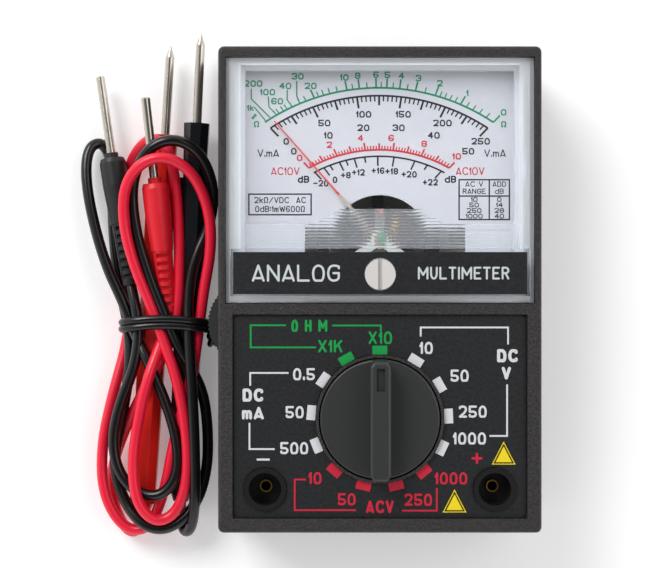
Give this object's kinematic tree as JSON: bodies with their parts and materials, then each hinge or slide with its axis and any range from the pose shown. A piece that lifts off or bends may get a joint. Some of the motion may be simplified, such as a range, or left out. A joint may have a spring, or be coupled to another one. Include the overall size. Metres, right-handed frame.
{
  "type": "analog multimeter",
  "caption": "Pocket needle multimeter with a rotary range switch, two jacks, a thumbwheel and two tied test leads.",
  "frame": {"origin": "centre of the flat back face that the meter lies on", "axes": "+X to the right across the face, +Y up the face towards the dial, +Z out of the face"},
  "size_m": [0.0985, 0.111, 0.033],
  "materials": {
    "case_plastic": "textured dark grey ABS",
    "knob_plastic": "moulded black ABS, semi-matt",
    "label_print": "printed black film",
    "clear_plastic": "clear polystyrene",
    "white_plastic": "white nylon",
    "dial_white": "white printed aluminium",
    "pointer_red": "painted aluminium",
    "bright_steel": "zinc-plated steel",
    "plated_pin": "nickel-plated brass",
    "brass": "machined brass",
    "phosphor_bronze": "phosphor bronze strip",
    "cast_alloy": "die-cast alloy",
    "soft_iron": "nickel-flashed soft iron",
    "magnet": "sintered magnet",
    "copper_wire": "enamelled copper winding",
    "board": "phenolic laminate",
    "component": "lacquered component body",
    "glass_tube": "clear glass with plated caps",
    "battery_sleeve": "printed foil sleeve",
    "wire_insulation": "PVC insulation",
    "black_rubber": "soft black PVC",
    "red_rubber": "soft red PVC",
    "black_handle": "moulded black polystyrene",
    "red_handle": "moulded red polystyrene"
  },
  "bodies": {
    "case": {"battery": "battery_sleeve", "battery_negative": "plated_pin", "battery_positive": "plated_pin", "battery_wires": "wire_insulation", "bottom_jewel_screw": "brass", "bridge_screws": "brass", "capacitor": "component", "case_screws": "bright_steel", "core_holder": "brass", "core_magnet": "magnet", "dial_plate": "dial_white", "dial_screws": "brass", "diodes": "component", "front_case": "case_plastic", "fuse": "glass_tube", "fuse_clips": "plated_pin", "hairspring_bottom": "phosphor_bronze", "hairspring_top": "phosphor_bronze", "jack_sleeves": "brass", "meter_window": "clear_plastic", "movement_frame": "cast_alloy", "movement_screws": "bright_steel", "movement_wires": "wire_insulation", "name_band": "label_print", "pcb": "board", "pcb_screws": "bright_steel", "pot_base": "board", "pot_rivet": "brass", "range_label": "label_print", "rear_case": "case_plastic", "resistors": "component", "top_jewel_screw": "brass", "upper_bridge": "cast_alloy", "yoke_ring": "soft_iron"},
    "range_switch": {"selector_knob": "knob_plastic", "wiper_springs": "phosphor_bronze", "detent_balls": "bright_steel", "detent_springs": "bright_steel"},
    "needle": {"moving_coil": "copper_wire", "coil_former": "cast_alloy", "pivot_shafts": "bright_steel", "pointer": "pointer_red", "counterweights": "brass"},
    "zero_adjuster": {"zero_screw": "white_plastic"},
    "zero_arm": {"zero_lever": "brass"},
    "ohms_wheel": {"zero_ohm_wheel": "knob_plastic"},
    "leads": {"black_lead": "black_rubber", "black_plug": "black_rubber", "black_plug_pin": "plated_pin", "black_probe": "black_handle", "black_probe_tip": "plated_pin", "lead_tie": "black_rubber", "red_lead": "red_rubber", "red_plug": "red_rubber", "red_plug_pin": "plated_pin", "red_probe": "red_handle", "red_probe_tip": "plated_pin"}
  },
  "joints": [
    {"name": "range_select", "type": "hinge", "parent": "case", "child": "range_switch", "pos_m": [0, -0.0266, 0.027], "axis": [0, 0, 1], "continuous": true},
    {"name": "needle_swing", "type": "hinge", "parent": "case", "child": "needle", "pos_m": [0, 0.0102, 0.0216], "axis": [0, 0, -1], "range_deg": [-4.7, 87.3], "stiffness_Nm_per_rad": 0.00002},
    {"name": "mechanical_zero", "type": "hinge", "parent": "case", "child": "zero_adjuster", "pos_m": [0, 0.0031, 0.027], "axis": [0, 0, 1], "range_deg": [-40, 40]},
    {"name": "zero_arm_turn", "type": "hinge", "parent": "case", "child": "zero_arm", "pos_m": [0, 0.0102, 0.0235], "axis": [0, 0, 1], "range_deg": [-6, 6]},
    {"name": "zero_ohm_turn", "type": "hinge", "parent": "case", "child": "ohms_wheel", "pos_m": [-0.0272, -0.0071, 0.0154], "axis": [0, 0, 1], "range_deg": [-140, 140]},
    {"name": "leads_lift", "type": "slide", "parent": "case", "child": "leads", "axis": [-1, 0, 0], "range_m": [0, 0.06]}
  ],
  "couplings": [
    {"joint": "zero_arm_turn", "follows": "mechanical_zero", "ratio": 0.1446}
  ]
}
